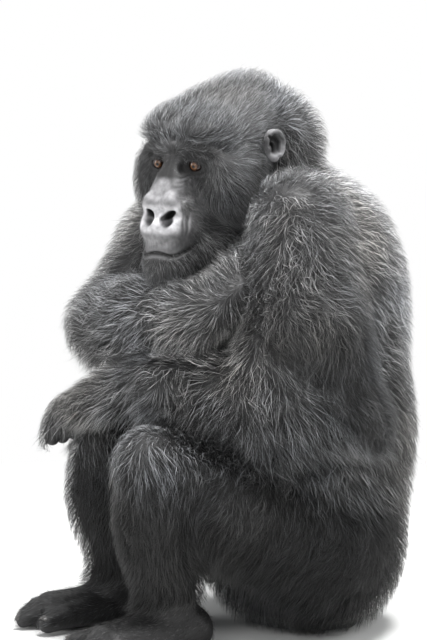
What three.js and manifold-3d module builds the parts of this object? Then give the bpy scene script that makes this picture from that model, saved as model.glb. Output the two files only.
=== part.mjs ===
// A mountain gorilla sitting on the ground with its arms folded over its raised knees and its head
// turned to its left. The animal is divided into the parts that a person would name. Every part is a
// closed solid that reaches out to the tips of the coat, and neighbours meet with a thin gap.
// Millimetres. +X is the animal's left, -Y is the way its chest faces, +Z is up.

import * as THREE from 'three';
import { mergeVertices } from 'three/addons/utils/BufferGeometryUtils.js';
import Module from 'manifold-3d';

const wasm = await Module();
wasm.setup();

// ---------------------------------------------------------------------------------------------
// Driving dimensions
// ---------------------------------------------------------------------------------------------

// The gap between two parts that touch.
const GAP = 0.5;

// Each surface is found in cells of this side length, then thinned out to so many triangles.
const CELL = { trunk: 24, limb: 19, head: 10, hand: 10, foot: 11, ear: 5 };
const TRIANGLES = { trunk: 520, limb: 320, head: 1750, hand: 350, foot: 320, ear: 130 };

// The folds of flesh and fur between two masses are filled in over this distance.
const BLEND = { trunk: 70, limb: 30, head: 16, hand: 10, ear: 4 };

// The head: where the middle between the ears is, how far it turns to the left and nods forward.
const HEAD_CENTRE = [15, 4, 794];
const HEAD_TURN = THREE.MathUtils.degToRad(30);
const HEAD_NOD = THREE.MathUtils.degToRad(13);

const EYE_RADIUS = 13;
const EYE = { forward: 112, side: 35, up: -2 };
const EAR = { forward: 0, side: 104, up: 0, flare: 0.35 };

// Joint centres of the sitting pose.
const POSE = {
  left: {
    shoulder: [190, 62, 681],
    elbow: [253, 138, 362],
    wrist: [94, -127, 424],
    knuckle: [-26, -176, 398],
    middleJoint: [-80, -200, 374],
    fingertip: [-118, -206, 312],
    hip: [115, 150, 145],
    knee: [140, -173, 308],
    ankle: [124, -132, 76],
    heel: [120, -96, 32],
    ball: [142, -238, 26],
    toes: [150, -300, 16],
  },
  right: {
    shoulder: [-200, 150, 705],
    elbow: [-114, -147, 492],
    wrist: [170, -88, 552],
    knuckle: [165, -25, 592],
    middleJoint: [165, 25, 612],
    fingertip: [140, 60, 602],
    hip: [-115, 150, 145],
    knee: [-94, -156, 315],
    ankle: [-100, -122, 76],
    heel: [-98, -84, 32],
    ball: [-124, -226, 26],
    toes: [-136, -288, 16],
  },
};

// Half thicknesses out to the tips of the coat.
const GIRTH = {
  shoulder: 92,
  upperArm: 107,
  elbow: 61,
  forearm: 96,
  wrist: 54,
  palm: 39,
  finger: 17,
  hip: 118,
  thigh: 98,
  knee: 60,
  calf: 70,
  ankle: 51,
  toe: 15,
};

// The leg ends this far above the middle of the ankle.
const ANKLE_RISE = 14;

const COAT = new THREE.Color(0x24221f);
const LEG_COAT = new THREE.Color(0x1d1a18);
const BARE_SKIN = new THREE.Color(0x38373a);
const IRIS = new THREE.Color(0x4a2412);

// ---------------------------------------------------------------------------------------------
// Shapes given by a distance: negative inside, positive outside
// ---------------------------------------------------------------------------------------------

const vector = (list) => new THREE.Vector3(...list);
const between = (a, b, share) => vector(a).lerp(vector(b), share).toArray();

function shape(box, distance) {
  return { box, distance };
}

// A round bar between two points whose half thickness runs evenly from one value to the other.
function bar(from, to, fromRadius, toRadius) {
  const start = vector(from);
  const along = vector(to).sub(start);
  const lengthSquared = Math.max(along.lengthSq(), 1e-9);
  const offset = new THREE.Vector3();
  const box = new THREE.Box3();
  box.union(new THREE.Box3().setFromCenterAndSize(start, vector([2, 2, 2]).multiplyScalar(fromRadius)));
  box.union(new THREE.Box3().setFromCenterAndSize(vector(to), vector([2, 2, 2]).multiplyScalar(toRadius)));
  return shape(box, (p) => {
    offset.copy(p).sub(start);
    const share = THREE.MathUtils.clamp(offset.dot(along) / lengthSquared, 0, 1);
    const radius = THREE.MathUtils.lerp(fromRadius, toRadius, share);
    return offset.addScaledVector(along, -share).length() - radius;
  });
}

// A chain of bars through several points.
function limb(points, radii, blend) {
  const bars = points.slice(1).map((point, i) => bar(points[i], point, radii[i], radii[i + 1]));
  return join(blend, ...bars);
}

function ellipsoid(centre, radii) {
  const middle = vector(centre);
  const box = new THREE.Box3().setFromCenterAndSize(middle, vector(radii).multiplyScalar(2));
  const [a, b, c] = radii;
  return shape(box, (p) => {
    const x = (p.x - middle.x) / a;
    const y = (p.y - middle.y) / b;
    const z = (p.z - middle.z) / c;
    const reach = Math.hypot(x, y, z);
    const slope = Math.hypot(x / a, y / b, z / c);
    return slope < 1e-9 ? -Math.min(a, b, c) : (reach * (reach - 1)) / slope;
  });
}

// A shape that was made in a frame of its own.
function placedBy(frame, inner) {
  const inverse = frame.clone().invert();
  const local = new THREE.Vector3();
  const box = inner.box.clone().applyMatrix4(frame);
  return shape(box, (p) => inner.distance(local.copy(p).applyMatrix4(inverse)));
}

// The two sides of the head carry the same shape.
function bothSides(inner) {
  const mirrored = new THREE.Vector3();
  const box = inner.box.clone();
  box.expandByPoint(vector([-box.max.x, box.min.y, box.min.z]));
  return shape(box, (p) => inner.distance(mirrored.set(Math.abs(p.x), p.y, p.z)));
}

// Joins shapes into one and fills the creases between them.
function join(blend, ...shapes) {
  const box = shapes.reduce((all, one) => all.union(one.box), new THREE.Box3());
  return shape(box, (p) => shapes.reduce((nearest, one) => {
    const distance = one.distance(p);
    const overlap = Math.max(blend - Math.abs(nearest - distance), 0) / blend;
    return Math.min(nearest, distance) - overlap * overlap * blend * 0.25;
  }, Infinity));
}

// Presses one shape into another, with rounded edges.
function carve(blend, whole, hollow) {
  return shape(whole.box, (p) => {
    const inside = whole.distance(p);
    const outside = -hollow.distance(p);
    const overlap = Math.max(blend - Math.abs(inside - outside), 0) / blend;
    return Math.max(inside, outside) + overlap * overlap * blend * 0.25;
  });
}

// ---------------------------------------------------------------------------------------------
// From a shape to a facetted solid
// ---------------------------------------------------------------------------------------------

// Facets a shape as finely as its kind of part needs.
function facet(whole, kind) {
  return thinOut(surface(whole, CELL[kind]), TRIANGLES[kind]);
}

// The corners of the six tetrahedra that fill a cell around its long diagonal.
const TETRAHEDRA = [[1, 3], [3, 2], [2, 6], [6, 4], [4, 5], [5, 1]].map((pair) => [0, 7, ...pair]);

// A vertex stays this share of an edge away from the edge's two ends.
const END_SHARE = 0.04;

// The surface of a shape: it is cut through the tetrahedra of a regular grid.
function surface({ box, distance }, cell) {
  const low = box.min.clone().subScalar(1.5 * cell);
  const [nx, ny, nz] = box.getSize(new THREE.Vector3()).divideScalar(cell).addScalar(4.5).floor().toArray();
  const place = (n) => {
    const steps = vector([n % nx, Math.floor(n / nx) % ny, Math.floor(n / (nx * ny))]);
    return steps.multiplyScalar(cell).add(low);
  };
  const values = Array.from({ length: nx * ny * nz }, (_, n) => distance(place(n)));
  const vertices = [];
  const found = new Map();
  const cut = (inside, outside) => {
    const key = Math.min(inside, outside) * values.length + Math.max(inside, outside);
    if (!found.has(key)) {
      const share = values[inside] / (values[inside] - values[outside]);
      const kept = THREE.MathUtils.clamp(share, END_SHARE, 1 - END_SHARE);
      found.set(key, vertices.length);
      vertices.push(place(inside).lerp(place(outside), kept));
    }
    return found.get(key);
  };

  const triangles = [];
  const cornerAt = (c) => (c & 1) + ((c >> 1) & 1) * nx + (c >> 2) * nx * ny;
  const cornerStep = Array.from({ length: 8 }, (_, c) => cornerAt(c));
  for (let n = 0; n < values.length - cornerStep[7]; n += 1) {
    const solidCorners = cornerStep.filter((step) => values[n + step] < 0).length;
    if (solidCorners % 8 === 0) continue;
    for (const tetrahedron of TETRAHEDRA) {
      const corners = tetrahedron.map((c) => n + cornerStep[c]);
      const inside = corners.filter((corner) => values[corner] < 0);
      const outside = corners.filter((corner) => values[corner] >= 0);
      if (inside.length === 0 || outside.length === 0) continue;
      const [i, j = i] = inside;
      const [o, q = o] = outside;
      let loop = [cut(i, o), cut(i, q), cut(j, q), cut(j, o)];
      if (inside.length === 1) loop = outside.map((corner) => cut(i, corner));
      if (outside.length === 1) loop = inside.map((corner) => cut(corner, o));
      const [a, b, c] = loop.map((vertex) => vertices[vertex]);
      const facing = b.clone().sub(a).cross(c.clone().sub(a));
      if (facing.dot(place(o).sub(place(i))) < 0) loop.reverse();
      for (let k = 1; k + 1 < loop.length; k += 1) triangles.push(loop[0], loop[k], loop[k + 1]);
    }
  }

  const geometry = new THREE.BufferGeometry().setFromPoints(vertices);
  geometry.setIndex(triangles);
  return geometry;
}

// The squared distance to a plane as ten numbers, weighed by the area that lies on the plane.
function planeError(a, b, c) {
  const normal = b.clone().sub(a).cross(c.clone().sub(a));
  const area = normal.length() || 1e-12;
  const [x, y, z] = normal.divideScalar(area).toArray();
  const w = -(x * a.x + y * a.y + z * a.z);
  return [x * x, x * y, x * z, x * w, y * y, y * z, y * w, z * z, z * w, w * w].map((n) => n * area);
}

function errorAt(q, { x, y, z }) {
  return q[0] * x * x + q[4] * y * y + q[7] * z * z + q[9]
    + 2 * (q[1] * x * y + q[2] * x * z + q[3] * x + q[5] * y * z + q[6] * y + q[8] * z);
}

// Where one vertex replaces the two ends of an edge at the least error.
function bestPlace(q, a, b) {
  const matrix = new THREE.Matrix3().set(q[0], q[1], q[2], q[1], q[4], q[5], q[2], q[5], q[7]);
  const middle = a.clone().add(b).multiplyScalar(0.5);
  const places = [a, b, middle];
  const trace = q[0] + q[4] + q[7];
  if (Math.abs(matrix.determinant()) > 1e-4 * trace ** 3) {
    const best = vector([-q[3], -q[6], -q[8]]).applyMatrix3(matrix.invert());
    if (best.distanceTo(middle) < a.distanceTo(b)) places.push(best);
  }
  return places.reduce((one, two) => (errorAt(q, two) < errorAt(q, one) ? two : one)).clone();
}

// How far a triangle is from a sliver: its height over its longest side, about 0.87 at most.
function fullness(a, b, c) {
  const area = b.clone().sub(a).cross(c.clone().sub(a)).length();
  return area / Math.max(a.distanceToSquared(b), b.distanceToSquared(c), c.distanceToSquared(a), 1e-12);
}

// Thinning out turns a triangle by no more than this cosine at a time, and makes no new slivers.
const LEAST_COSINE = 0.7;
const LEAST_FULLNESS = 0.03;

// Takes away the vertices that the surface needs least, until so many triangles are left.
function thinOut(geometry, wanted) {
  const { position } = geometry.attributes;
  const at = (i) => new THREE.Vector3().fromBufferAttribute(position, i);
  const places = Array.from({ length: position.count }, (_, i) => at(i));
  const errors = places.map(() => new Array(10).fill(0));
  const facesOf = places.map(() => new Set());
  const faces = [];
  for (let i = 0; i < geometry.index.count; i += 3) {
    const face = [0, 1, 2].map((k) => geometry.index.getX(i + k));
    const plane = planeError(...face.map((v) => places[v]));
    for (const v of face) {
      facesOf[v].add(faces.length);
      plane.forEach((value, k) => { errors[v][k] += value; });
    }
    faces.push(face);
  }

  const cornersBy = (v) => [...facesOf[v]].flatMap((f) => faces[f]);
  const neighbours = (v) => new Set(cornersBy(v).filter((other) => other !== v));
  const edges = new Map();
  const key = (a, b) => (a < b ? `${a},${b}` : `${b},${a}`);
  const weigh = (a, b) => {
    const q = errors[a].map((value, k) => value + errors[b][k]);
    const place = bestPlace(q, places[a], places[b]);
    const cost = errorAt(q, place) + 1e-3 * places[a].distanceToSquared(places[b]);
    edges.set(key(a, b), { a, b, place, cost });
  };
  places.forEach((_, v) => neighbours(v).forEach((other) => { if (v < other) weigh(v, other); }));

  const turnsOver = (v, gone, place) => [...facesOf[v]].some((f) => {
    if (faces[f].includes(gone)) return false;
    const [a, b, c] = faces[f].map((corner) => places[corner]);
    const [x, y, z] = faces[f].map((corner) => (corner === v ? place : places[corner]));
    const before = b.clone().sub(a).cross(c.clone().sub(a));
    const after = y.clone().sub(x).cross(z.clone().sub(x));
    const turned = before.dot(after) < LEAST_COSINE * before.length() * after.length();
    return turned || fullness(x, y, z) < Math.min(LEAST_FULLNESS, fullness(a, b, c));
  });

  let left = faces.length;
  while (left > wanted) {
    const cheapest = [...edges.values()].sort((one, two) => one.cost - two.cost);
    const touched = new Set();
    for (const { a, b, place } of cheapest.slice(0, Math.ceil(cheapest.length / 12))) {
      if (left <= wanted) break;
      if (touched.has(a) || touched.has(b)) continue;
      const around = neighbours(b);
      const shared = [...neighbours(a)].filter((v) => around.has(v));
      if (shared.length !== 2 || turnsOver(a, b, place) || turnsOver(b, a, place)) {
        edges.delete(key(a, b));
        continue;
      }
      for (const v of around) edges.delete(key(b, v));
      for (const f of facesOf[b]) {
        if (faces[f].includes(a)) {
          for (const v of faces[f]) if (v !== b) facesOf[v].delete(f);
          faces[f] = null;
          left -= 1;
        } else {
          faces[f] = faces[f].map((v) => (v === b ? a : v));
          facesOf[a].add(f);
        }
      }
      facesOf[b].clear();
      errors[a] = errors[a].map((value, k) => value + errors[b][k]);
      places[a].copy(place);
      touched.add(a);
      for (const v of neighbours(a)) {
        touched.add(v);
        weigh(a, v);
      }
    }
    if (touched.size === 0) break;
  }

  const thinned = new THREE.BufferGeometry().setFromPoints(places);
  thinned.setIndex(faces.filter(Boolean).flat());
  return merge(thinned.toNonIndexed());
}

// The geometry with one vertex at each place.
function merge(geometry) {
  const bare = geometry.clone();
  bare.deleteAttribute('normal');
  bare.deleteAttribute('uv');
  return mergeVertices(bare, 1e-3);
}

// A closed solid from a geometry.
function solid(geometry) {
  const merged = merge(geometry);
  return new wasm.Manifold(new wasm.Mesh({
    numProp: 3,
    vertProperties: new Float32Array(merged.attributes.position.array),
    triVerts: new Uint32Array(merged.index.array),
  }));
}

// The same surface, pushed out along its own normals by the gap that neighbours keep.
function grown(geometry) {
  const outer = merge(geometry);
  outer.computeVertexNormals();
  const { position, normal } = outer.attributes;
  for (let i = 0; i < position.count; i += 1) {
    position.setXYZ(
      i,
      position.getX(i) + GAP * normal.getX(i),
      position.getY(i) + GAP * normal.getY(i),
      position.getZ(i) + GAP * normal.getZ(i),
    );
  }
  return solid(outer);
}

function geometryOf(body) {
  const mesh = body.getMesh();
  const geometry = new THREE.BufferGeometry();
  geometry.setAttribute('position', new THREE.BufferAttribute(new Float32Array(mesh.vertProperties), 3));
  geometry.setIndex([...mesh.triVerts]);
  return geometry;
}

const BLOCK = 3000;

// The space on the side of a plane that its normal points to, as a function of how far past the
// plane the space begins.
function side({ point, normal }) {
  const direction = vector(normal).normalize();
  const turn = new THREE.Quaternion().setFromUnitVectors(vector([0, 0, 1]), direction);
  return (past) => {
    const centre = vector(point).addScaledVector(direction, BLOCK / 2 + past);
    const block = new THREE.BoxGeometry(BLOCK, BLOCK, BLOCK);
    return solid(block.applyMatrix4(new THREE.Matrix4().compose(centre, turn, vector([1, 1, 1]))));
  };
}

function otherSide({ point, normal }) {
  return side({ point, normal: normal.map((value) => -value) });
}

// ---------------------------------------------------------------------------------------------
// Building up the animal: a part gives way to the parts that were added before it
// ---------------------------------------------------------------------------------------------

const gorilla = new THREE.Group();
gorilla.name = 'gorilla';
const placed = [];
const floor = solid(new THREE.BoxGeometry(BLOCK, BLOCK, BLOCK).translate(0, 0, -BLOCK / 2));

function overlaps(a, b) {
  const one = a.boundingBox();
  const two = b.boundingBox();
  return [0, 1, 2].every((i) => one.min[i] < two.max[i] && two.min[i] < one.max[i]);
}

function largest(body) {
  return body.decompose().reduce((best, one) => (one.volume() > best.volume() ? one : best));
}

// keeps: the spaces that the part stays within; cuts: those that it leaves out. The parts of one
// family share one surface, so they are parted by these alone.
function add(name, geometry, colour, { keeps = [], cuts = [], family = name, roughness = 0.85 } = {}) {
  const trim = (body, past) => {
    const kept = keeps.reduce((rest, keep) => rest.intersect(keep(past)), body);
    return cuts.reduce((rest, cut) => rest.subtract(cut(-past)), kept);
  };
  let body = trim(solid(geometry), GAP / 2).subtract(floor);
  for (const other of placed) {
    if (other.family !== family && overlaps(body, other.outer)) body = body.subtract(other.outer);
  }
  placed.push({ family, outer: trim(grown(geometry), -GAP / 2) });
  const material = new THREE.MeshStandardMaterial({ color: colour, roughness, metalness: 0 });
  const mesh = new THREE.Mesh(geometryOf(largest(body)), material);
  mesh.name = name;
  gorilla.add(mesh);
}

// ---------------------------------------------------------------------------------------------
// Head, in its own frame: x to its right, y forward, z up, origin midway between the ears
// ---------------------------------------------------------------------------------------------

const headFrame = new THREE.Matrix4()
  .makeTranslation(...HEAD_CENTRE)
  .multiply(new THREE.Matrix4().makeRotationZ(Math.PI + HEAD_TURN))
  .multiply(new THREE.Matrix4().makeRotationX(-HEAD_NOD));

function headShape() {
  const cranium = ellipsoid([0, -12, 24], [94, 122, 74]);
  const crown = ellipsoid([0, -60, 48], [64, 84, 50]);
  const forehead = bothSides(ellipsoid([40, 50, 32], [50, 52, 44]));
  const temple = bothSides(ellipsoid([62, 22, -6], [37, 72, 78]));
  const browRidge = bothSides(bar([0, 121, 31], [74, 100, 18], 16, 16));
  const cheekBone = bothSides(bar([73, 98, 2], [79, 34, -24], 24, 30));
  const cheek = bothSides(ellipsoid([65, 79, -45], [45, 54, 58]));
  const besideNose = bothSides(bar([24, 84, -24], [34, 112, -68], 30, 34));
  const bridge = bar([0, 112, 8], [0, 153, -46], 21, 25);
  const noseWing = bothSides(bar([12, 168, -56], [22, 166, -66], 19, 18));
  const upperLip = ellipsoid([0, 140, -92], [58, 60, 42]);
  const chin = ellipsoid([0, 162, -146], [52, 50, 40]);
  const jawBone = bothSides(bar([64, 24, -74], [38, 122, -134], 42, 40));
  const throat = ellipsoid([0, 40, -110], [68, 80, 62]);
  const flesh = join(
    BLEND.head,
    cranium, crown, forehead, temple, cheekBone, cheek, besideNose,
    bridge, upperLip, chin, jawBone, throat,
  );
  const browed = join(BLEND.head, flesh, browRidge);
  const nosed = join(BLEND.head / 2, browed, noseWing);
  const socket = bothSides(ellipsoid([EYE.side, EYE.forward + 12, EYE.up - 2], [19, 16, 13]));
  const nostril = bothSides(ellipsoid([15, 190, -66], [8, 10, 7]));
  return carve(6, carve(8, nosed, socket), nostril);
}

function addEyes() {
  for (const [which, sign] of [['left', -1], ['right', 1]]) {
    const ball = new THREE.SphereGeometry(EYE_RADIUS, 12, 8).rotateX(Math.PI / 2);
    ball.translate(sign * EYE.side, EYE.forward, EYE.up);
    add(`eye_${which}`, ball.applyMatrix4(headFrame), IRIS, { roughness: 0.15 });
  }
}

// The ear is a thick bowl with a rolled rim, close against the head.
function addEars() {
  for (const [which, sign] of [['left', -1], ['right', 1]]) {
    const shell = ellipsoid([0, 0, 0], [13, 20, 27]);
    const bowl = ellipsoid([sign * 10, 4, 2], [11, 12, 18]);
    const frame = new THREE.Matrix4().makeTranslation(sign * EAR.side, EAR.forward, EAR.up);
    frame.multiply(new THREE.Matrix4().makeRotationZ(sign * EAR.flare));
    frame.premultiply(headFrame);
    add(`ear_${which}`, facet(placedBy(frame, carve(BLEND.ear, shell, bowl)), 'ear'), BARE_SKIN);
  }
}

// A plane that is given in the frame of the head.
function headPlane(point, normal) {
  const turn = new THREE.Matrix3().setFromMatrix4(headFrame);
  return {
    point: vector(point).applyMatrix4(headFrame).toArray(),
    normal: vector(normal).applyMatrix3(turn).toArray(),
  };
}

// Head and neck run into each other, and are parted behind the ears; the jaw is parted at the mouth.
function addHeadAndNeck() {
  const whole = join(
    BLEND.head,
    placedBy(headFrame, headShape()),
    ellipsoid([5, 90, 790], [105, 100, 100]),
    bar([10, 50, 770], [0, 130, 690], 88, 104),
  );
  const geometry = facet(whole, 'head');
  const nape = headPlane([0, -58, 0], [0, 1, 0.25]);
  const collar = { point: [0, 90, 712], normal: [0, -0.5, 0.86] };
  const belowMouth = side(headPlane([0, 190, -117], [0, 0.14, -1]));
  const beforeHinge = side(headPlane([0, 40, -117], [0, 1, 0.25]));
  const jawSpace = (past) => belowMouth(past).intersect(beforeHinge(past));
  add('jaw', geometry, BARE_SKIN, { family: 'head', keeps: [jawSpace] });
  add('head', geometry, COAT, { family: 'head', keeps: [side(nape)], cuts: [jawSpace] });
  add('neck', geometry, COAT, { family: 'head', keeps: [otherSide(nape), side(collar)] });
}

// ---------------------------------------------------------------------------------------------
// Arms and hands
// ---------------------------------------------------------------------------------------------

// The plane through a joint that halves the angle between the bones on its two sides.
function bend(before, joint, after) {
  const one = vector(joint).sub(vector(before)).normalize();
  const two = vector(after).sub(vector(joint)).normalize();
  return { point: joint, normal: one.add(two).normalize().toArray() };
}

// Four fingers side by side and a thumb on a broad palm.
function handShape(pose, across, thumbSide) {
  const { wrist, knuckle, middleJoint, fingertip } = pose;
  const sideways = vector(across);
  const shifted = (point, amount) => vector(point).addScaledVector(sideways, amount).toArray();
  const palm = [-24, 0, 24].map((offset) => bar(
    shifted(wrist, offset * 0.6), shifted(knuckle, offset * 1.1), GIRTH.wrist - 8, GIRTH.palm,
  ));
  const fingers = [-36, -12, 12, 36].map((offset) => limb(
    [shifted(knuckle, offset), shifted(middleJoint, offset), shifted(fingertip, offset * 0.9)],
    [GIRTH.finger + 6, GIRTH.finger + 3, GIRTH.finger],
    BLEND.hand,
  ));
  const thumb = bar(
    shifted(between(wrist, knuckle, 0.35), thumbSide * 30),
    shifted(between(wrist, knuckle, 0.95), thumbSide * 62),
    GIRTH.finger + 6, GIRTH.finger - 1,
  );
  return join(BLEND.hand, ...palm, ...fingers, thumb);
}

function armShape(pose, upperArm, forearm, fringe) {
  const { shoulder, elbow, wrist } = pose;
  return join(
    BLEND.limb,
    limb([shoulder, upperArm.at, elbow], [GIRTH.shoulder, upperArm.girth, GIRTH.elbow], BLEND.limb),
    limb([elbow, forearm.at, wrist], [GIRTH.elbow, forearm.girth, GIRTH.wrist], BLEND.limb),
    ...fringe,
  );
}

function addArm(which, arm, across, thumbSide) {
  const pose = POSE[which];
  const wrist = bend(pose.elbow, pose.wrist, pose.knuckle);
  const elbow = bend(pose.shoulder, pose.elbow, pose.wrist);
  const family = `arm_${which}`;
  const hand = facet(handShape(pose, across, thumbSide), 'hand');
  const shown = facet(arm, 'limb');
  add(`hand_${which}`, hand, BARE_SKIN, { family, keeps: [side(wrist)] });
  add(`forearm_${which}`, shown, COAT, { family, keeps: [side(elbow), otherSide(wrist)] });
  add(`upper_arm_${which}`, shown, COAT, { family, keeps: [otherSide(elbow)] });
}

function addArms() {
  const left = POSE.left;
  const leftArm = armShape(
    left,
    { at: [224, 56, 516], girth: GIRTH.upperArm },
    { at: [182, 20, 398], girth: GIRTH.forearm },
    [ellipsoid([205, 44, 338], [52, 84, 62])],
  );
  const right = POSE.right;
  const rightArm = armShape(
    right,
    { at: between(right.shoulder, right.elbow, 0.5), girth: GIRTH.upperArm * 0.95 },
    { at: between(right.elbow, right.wrist, 0.4), girth: GIRTH.forearm * 0.72 },
    [],
  );
  addArm('left', leftArm, [0.12, -0.62, -0.2], 1);
  addArm('right', rightArm, [0.45, -0.2, -0.35], -1);
}

// ---------------------------------------------------------------------------------------------
// Legs and feet
// ---------------------------------------------------------------------------------------------

function legShape(pose) {
  const { hip, knee, ankle } = pose;
  return join(
    BLEND.limb,
    limb([hip, between(hip, knee, 0.5), knee], [GIRTH.hip, GIRTH.thigh, GIRTH.knee], BLEND.limb),
    limb([knee, between(knee, ankle, 0.42), ankle], [GIRTH.knee, GIRTH.calf, GIRTH.ankle], BLEND.limb),
  );
}

function footShape(pose, outward) {
  const { ankle, heel, ball, toes } = pose;
  const shifted = (point, x) => [point[0] + outward * x, point[1], point[2]];
  const sole = [-24, 0, 22].map((x) => bar(shifted(heel, x * 0.4), shifted(ball, x), 36, 30));
  const smallToes = [-12, 8, 28, 46].map((x, i) => bar(
    shifted(ball, x * 0.9), [toes[0] + outward * x, toes[1] + i * 9, toes[2]], GIRTH.toe + 6, GIRTH.toe,
  ));
  const greatToeTip = [ball[0] - outward * 60, toes[1] + 28, 18];
  const greatToe = limb(
    [shifted(between(heel, ball, 0.55), -30), shifted(ball, -52), greatToeTip],
    [26, 22, 19],
    BLEND.hand,
  );
  const instep = bar(ankle, between(heel, ball, 0.6), GIRTH.ankle, 34);
  return join(BLEND.hand, instep, bar(ankle, heel, GIRTH.ankle, 36), ...sole, ...smallToes, greatToe);
}

function addLeg(which, outward) {
  const pose = POSE[which];
  const [x, y, z] = pose.ankle;
  const ankle = { point: [x, y, z + ANKLE_RISE], normal: [0, 0.25, -1] };
  const knee = bend(pose.hip, pose.knee, pose.ankle);
  const family = `leg_${which}`;
  const foot = facet(footShape(pose, outward), 'foot');
  const leg = facet(legShape(pose), 'limb');
  add(`foot_${which}`, foot, BARE_SKIN, { family, keeps: [side(ankle)] });
  add(`shin_${which}`, leg, LEG_COAT, { family, keeps: [side(knee), otherSide(ankle)] });
  add(`thigh_${which}`, leg, LEG_COAT, { family, keeps: [otherSide(knee)] });
}

// ---------------------------------------------------------------------------------------------
// Trunk
// ---------------------------------------------------------------------------------------------

function addTrunk() {
  const trunk = join(
    BLEND.trunk,
    ellipsoid([0, 156, 134], [212, 168, 150]),
    ellipsoid([0, 146, 330], [240, 192, 220]),
    ellipsoid([0, 137, 545], [226, 190, 190]),
    ellipsoid([0, 138, 640], [190, 130, 104]),
    bar([120, 88, 668], [-130, 138, 690], 76, 78),
  );
  const geometry = facet(trunk, 'trunk');
  const waist = { point: [0, 146, 430], normal: [0, -0.25, 1] };
  const hips = { point: [0, 150, 215], normal: [0, -0.2, 1] };
  add('chest', geometry, COAT, { family: 'trunk', keeps: [side(waist)] });
  add('belly', geometry, COAT, { family: 'trunk', keeps: [otherSide(waist), side(hips)] });
  add('pelvis', geometry, COAT, { family: 'trunk', keeps: [otherSide(hips)] });
}

addEyes();
addEars();
addHeadAndNeck();
addArms();
addLeg('left', 1);
addLeg('right', -1);
addTrunk();

// The origin is on the ground under the middle of the animal.
const middle = new THREE.Box3().setFromObject(gorilla).getCenter(new THREE.Vector3());
gorilla.position.set(-middle.x, -middle.y, 0);

export default gorilla;
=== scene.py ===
"""A mountain gorilla that sits on the floor in life size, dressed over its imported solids.

One skin is drawn inside the solids by the depth of the coat, the head, hands and feet are sculpted
in frames taken from the solids, and the coat is made of tapered locks that follow its lie.
Metres, +Z up, +X towards the animal's left, -Y the way its chest faces.
"""

import math

import bmesh
import bpy
import numpy as np
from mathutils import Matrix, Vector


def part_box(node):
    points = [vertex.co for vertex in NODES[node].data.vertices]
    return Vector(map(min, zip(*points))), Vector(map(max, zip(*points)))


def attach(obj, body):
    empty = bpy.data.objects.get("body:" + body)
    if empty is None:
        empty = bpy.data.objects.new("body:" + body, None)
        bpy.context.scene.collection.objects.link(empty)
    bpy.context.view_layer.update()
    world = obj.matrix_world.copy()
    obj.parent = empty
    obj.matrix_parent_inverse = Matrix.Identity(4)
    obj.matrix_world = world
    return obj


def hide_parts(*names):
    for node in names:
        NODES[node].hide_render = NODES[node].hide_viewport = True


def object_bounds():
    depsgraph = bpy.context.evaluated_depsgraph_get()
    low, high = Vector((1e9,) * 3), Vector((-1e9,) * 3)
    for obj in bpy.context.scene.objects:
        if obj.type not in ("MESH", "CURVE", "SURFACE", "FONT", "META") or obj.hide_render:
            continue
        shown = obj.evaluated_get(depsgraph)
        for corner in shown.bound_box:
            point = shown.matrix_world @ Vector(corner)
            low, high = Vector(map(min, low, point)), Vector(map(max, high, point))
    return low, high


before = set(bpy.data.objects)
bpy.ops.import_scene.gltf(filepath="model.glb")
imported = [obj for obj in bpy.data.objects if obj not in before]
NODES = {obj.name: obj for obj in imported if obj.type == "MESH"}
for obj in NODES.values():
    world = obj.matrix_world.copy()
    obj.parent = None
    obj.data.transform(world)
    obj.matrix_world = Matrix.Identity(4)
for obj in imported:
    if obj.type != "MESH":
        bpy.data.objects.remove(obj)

import openvdb as vdb
from mathutils import Matrix, Vector

# The start-up scene's own cube, lamp and camera go first.
for name in ("Cube", "Light", "Camera"):
    if name in bpy.data.objects:
        bpy.data.objects.remove(bpy.data.objects[name])

CAD_BOX = [list(corner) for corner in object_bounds()]
EYES = ("eye_left", "eye_right")
FLESH = [name for name in NODES if name not in EYES]
HEAD_NODES = ("head", "jaw", "ear_left", "ear_right")
LIMB_ENDS = ("hand_left", "hand_right", "foot_left", "foot_right")
MM = 0.001

# The grids that the skin, and the lie and length of the coat, are worked out on.
SKIN_CELL = 5 * MM
COAT_CELL = 8 * MM
MARGIN = 24 * MM
# How far from a surface its distance is known.
REACH = 54 * MM
# Neighbouring solids are 0.5 mm apart: a surface this far outside them closes over the gaps.
GAP_COVER = 1 * MM
# The facets of the solids are rounded off over this distance.
ROUNDING = 7 * MM

rng = np.random.default_rng(7)


# ---- Small tools ----

def unit(vectors):
    """The vectors at length one."""
    vectors = np.asarray(vectors, float)
    return vectors / np.maximum(np.linalg.norm(vectors, axis=-1, keepdims=True), 1e-9)


def step(low, high, values):
    """0 at low, 1 at high, with a smooth rise between them."""
    share = np.clip((values - low) / (high - low), 0, 1)
    return share * share * (3 - 2 * share)


def mix(one, two, share):
    return one + (two - one) * share


def box_of(node):
    """The low and the high corner of a node's box."""
    return [np.array(corner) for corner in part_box(node)]


def spot(node, *shares):
    """A place in a node's box, given as shares of the box's three sides."""
    return mix(*box_of(node), np.array(shares))


def within(points, low, high):
    return np.all((points > low) & (points < high), axis=1)


def read_threes(items, key, kind=np.float32):
    """Three values of each item of a mesh."""
    values = np.empty(3 * len(items), kind)
    items.foreach_get(key, values)
    return values.reshape(-1, 3)


def store(items, key, values, kind=np.float32):
    items.foreach_set(key, np.asarray(values).astype(kind).ravel())


def places_of(mesh):
    return read_threes(mesh.vertices, "co").astype(float)


def triangles_of(mesh):
    mesh.calc_loop_triangles()
    return read_threes(mesh.loop_triangles, "vertices", np.int32)


def vertices_of(node):
    return read_threes(NODES[node].data.vertices, "co")


def faces_of(node):
    return triangles_of(NODES[node].data).astype(np.uint32)


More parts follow.
